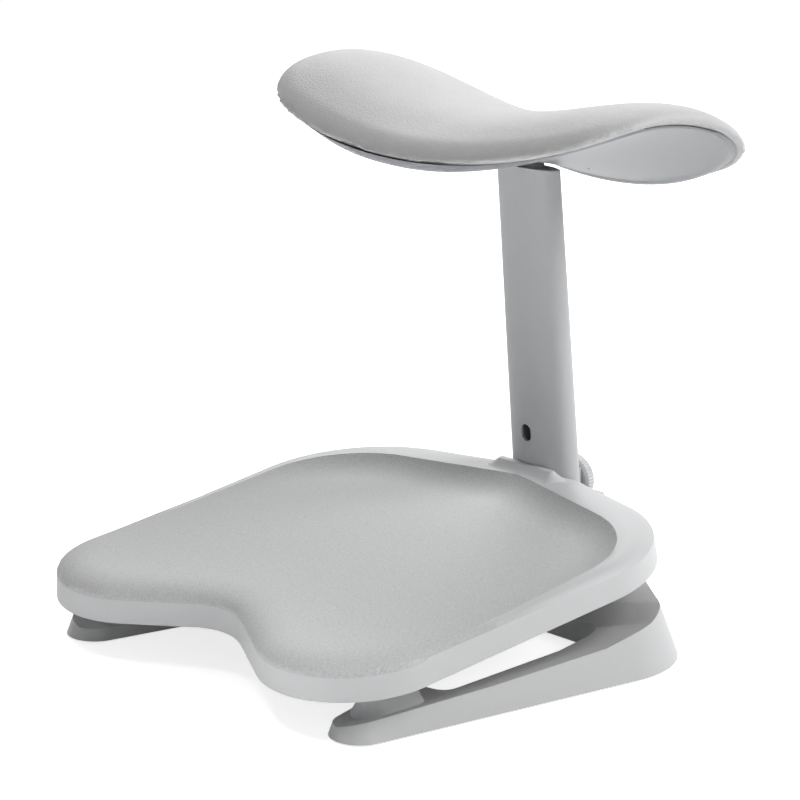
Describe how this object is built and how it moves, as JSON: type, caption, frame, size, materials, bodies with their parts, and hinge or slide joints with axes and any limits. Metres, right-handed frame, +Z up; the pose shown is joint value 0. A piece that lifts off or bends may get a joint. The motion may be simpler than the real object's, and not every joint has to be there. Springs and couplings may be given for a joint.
{
  "type": "footrest with calf saddle",
  "caption": "Floor footrest: an inclined shield-shaped foot plate on a U-shaped base, with an oval height-adjustable post that carries a tilting saddle-shaped calf cushion.",
  "frame": {"origin": "on the floor, at the middle of the overall width and depth", "axes": "+Z up; -Y towards the sitter, so the notch of the foot plate is at -Y and the post at +Y; +X to the right of someone standing at -Y and looking along +Y"},
  "size_m": [0.4578, 0.4952, 0.4448],
  "materials": {
    "body_grey": "satin moulded, light cool grey",
    "frame_grey": "finely textured moulding, light cool grey",
    "shell_grey": "smooth satin moulding, light cool grey",
    "post_coat": "fine satin powder coat, light grey",
    "cushion_cover": "fine grained leather-like cover, light grey",
    "pad_rubber": "matt dark rubber",
    "fastener_steel": "zinc plated",
    "guide_brass": "turned",
    "glide_plastic": "self-lubricating dark plastic",
    "cast_alloy": "cast, satin"
  },
  "bodies": {
    "base": {"base_frame": "frame_grey", "foot_plate": "body_grey", "post_socket": "cast_alloy", "guide_bush": "glide_plastic", "pad_front_right": "pad_rubber", "pad_front_left": "pad_rubber", "pad_rear_right": "pad_rubber", "pad_rear_left": "pad_rubber", "neck_screws": "fastener_steel", "collar_screws": "fastener_steel", "socket_screws": "fastener_steel", "lock_guide": "guide_brass", "knob_washer": "glide_plastic"},
    "post": {"post_tube": "post_coat", "post_foot": "glide_plastic", "post_head": "cast_alloy"},
    "lock_pin": {"lock_pin": "fastener_steel"},
    "lock_knob": {"lock_knob": "body_grey", "lock_screw": "fastener_steel"},
    "saddle": {"saddle_cushion": "cushion_cover", "saddle_shell": "shell_grey", "saddle_board": "glide_plastic", "shell_screws": "fastener_steel", "tilt_pin": "fastener_steel", "friction_washers": "glide_plastic", "pin_clips": "fastener_steel"}
  },
  "joints": [
    {"name": "post_slide", "type": "slide", "parent": "base", "child": "post", "axis": [0, -0.0958, 0.9954], "range_m": [-0.0566, 0]},
    {"name": "knob_turn", "type": "hinge", "parent": "base", "child": "lock_knob", "pos_m": [0, 0.20313, 0.084], "axis": [0, 0.9954, 0.0958], "range_deg": [-360, 0]},
    {"name": "pin_slide", "type": "slide", "parent": "base", "child": "lock_pin", "axis": [0, 0.9954, 0.0958], "range_m": [-0.0056, 0.0001]},
    {"name": "saddle_tilt", "type": "hinge", "parent": "post", "child": "saddle", "pos_m": [0, 0.13917, 0.38304], "axis": [1, 0, 0], "range_deg": [-4, 12]}
  ],
  "couplings": [
    {"joint": "pin_slide", "follows": "knob_turn", "m_per_rad": 0.00087535}
  ]
}
